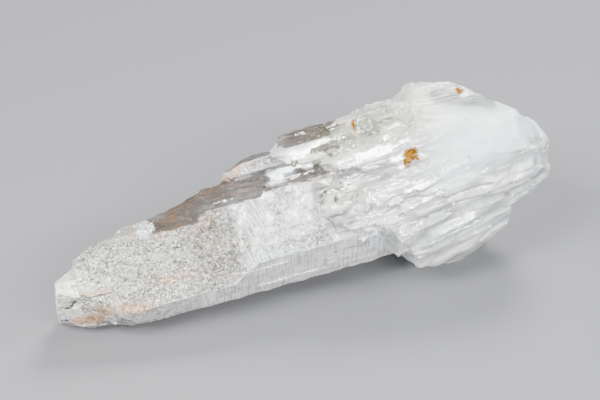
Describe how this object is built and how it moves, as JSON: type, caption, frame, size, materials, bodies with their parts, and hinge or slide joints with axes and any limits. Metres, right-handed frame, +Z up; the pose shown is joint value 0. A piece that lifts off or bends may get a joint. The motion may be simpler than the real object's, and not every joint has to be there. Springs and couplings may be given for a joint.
{
  "type": "quartz crystal",
  "caption": "Natural milky quartz crystal specimen: a long six-sided prism with stepped parallel growth, widening to a broken, ribbed root, lying on its side.",
  "frame": {"origin": "under the middle of the specimen, on the table", "axes": "+X along the crystal from its narrow end to its root, +Z up; the widest prism face looks towards -Y and up"},
  "size_m": [0.0988, 0.0332, 0.0387],
  "materials": {
    "quartz": "milky and cloudy inside, frosted by etching on the widest face, glassy on fresh breaks",
    "iron_stain": "dull orange-brown iron oxide grains in a pocket of the quartz"
  },
  "bodies": {
    "root": {"quartz_crystal": "quartz"}
  },
  "joints": []
}
